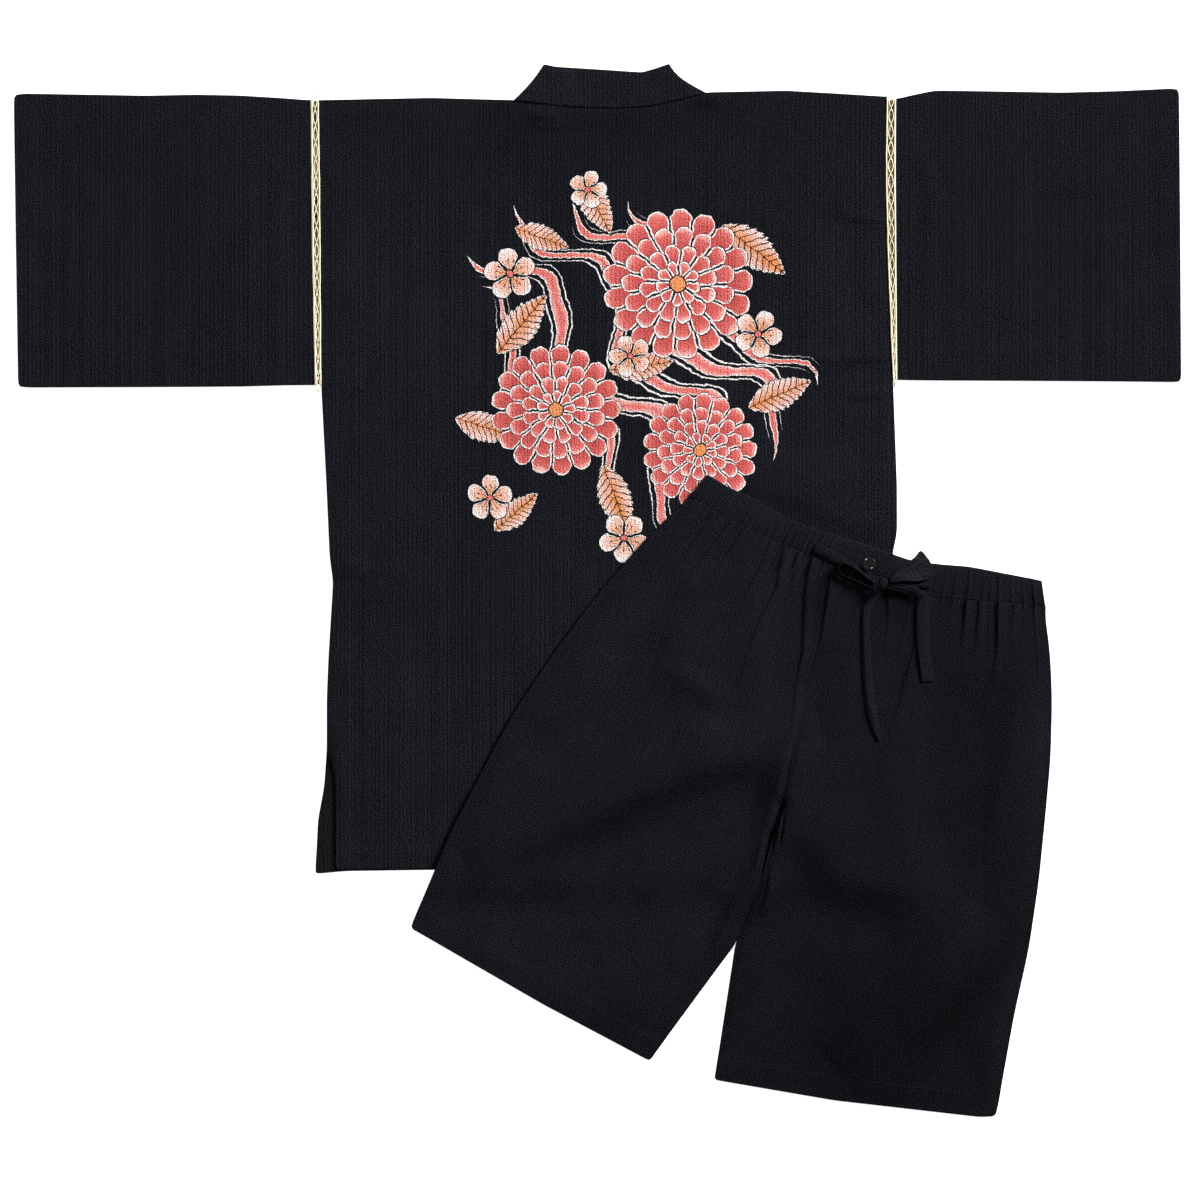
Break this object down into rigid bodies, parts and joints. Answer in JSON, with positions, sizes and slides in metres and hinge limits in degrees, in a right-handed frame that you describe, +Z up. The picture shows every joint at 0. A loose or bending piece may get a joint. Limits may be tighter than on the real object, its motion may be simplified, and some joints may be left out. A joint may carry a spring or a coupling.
{
  "type": "jinbei set laid flat, wrap jacket and shorts",
  "caption": "Jinbei set laid flat: a wrap jacket with openwork tapes at the sleeves, its back up, and drawstring shorts lying over its lower corner.",
  "frame": {"origin": "on the surface it lies on, under the middle of the whole set", "axes": "+X from the jacket's left cuff to its right cuff, +Y from the hems towards the collar, +Z up off the surface"},
  "size_m": [1.1668, 1.0512, 0.0155],
  "materials": {
    "crinkled_cotton": "matt navy-black crinkled cotton with a fine lengthwise rib",
    "string_cotton": "matt navy-black cotton folded into a flat band",
    "openwork_tape": "matt cream openwork cotton tape",
    "button_gloss": "glossy black four-hole button"
  },
  "bodies": {
    "root": {"jacket_back": "crinkled_cotton", "jacket_front_left": "crinkled_cotton", "jacket_front_right": "crinkled_cotton", "collar_back": "crinkled_cotton", "collar_front_left": "crinkled_cotton", "collar_front_right": "crinkled_cotton", "sleeve_left": "crinkled_cotton", "sleeve_right": "crinkled_cotton", "lace_tape_left": "openwork_tape", "lace_tape_right": "openwork_tape", "tie_front": "crinkled_cotton", "tie_side": "crinkled_cotton", "shorts_front_left": "crinkled_cotton", "shorts_front_right": "crinkled_cotton", "shorts_back_left": "crinkled_cotton", "shorts_back_right": "crinkled_cotton", "waistband": "crinkled_cotton", "drawstring_left": "string_cotton", "drawstring_right": "string_cotton", "bow_loop_left": "string_cotton", "bow_loop_right": "string_cotton", "bow_knot": "string_cotton", "tail_left": "string_cotton", "tail_right": "string_cotton", "button": "button_gloss"}
  },
  "joints": []
}
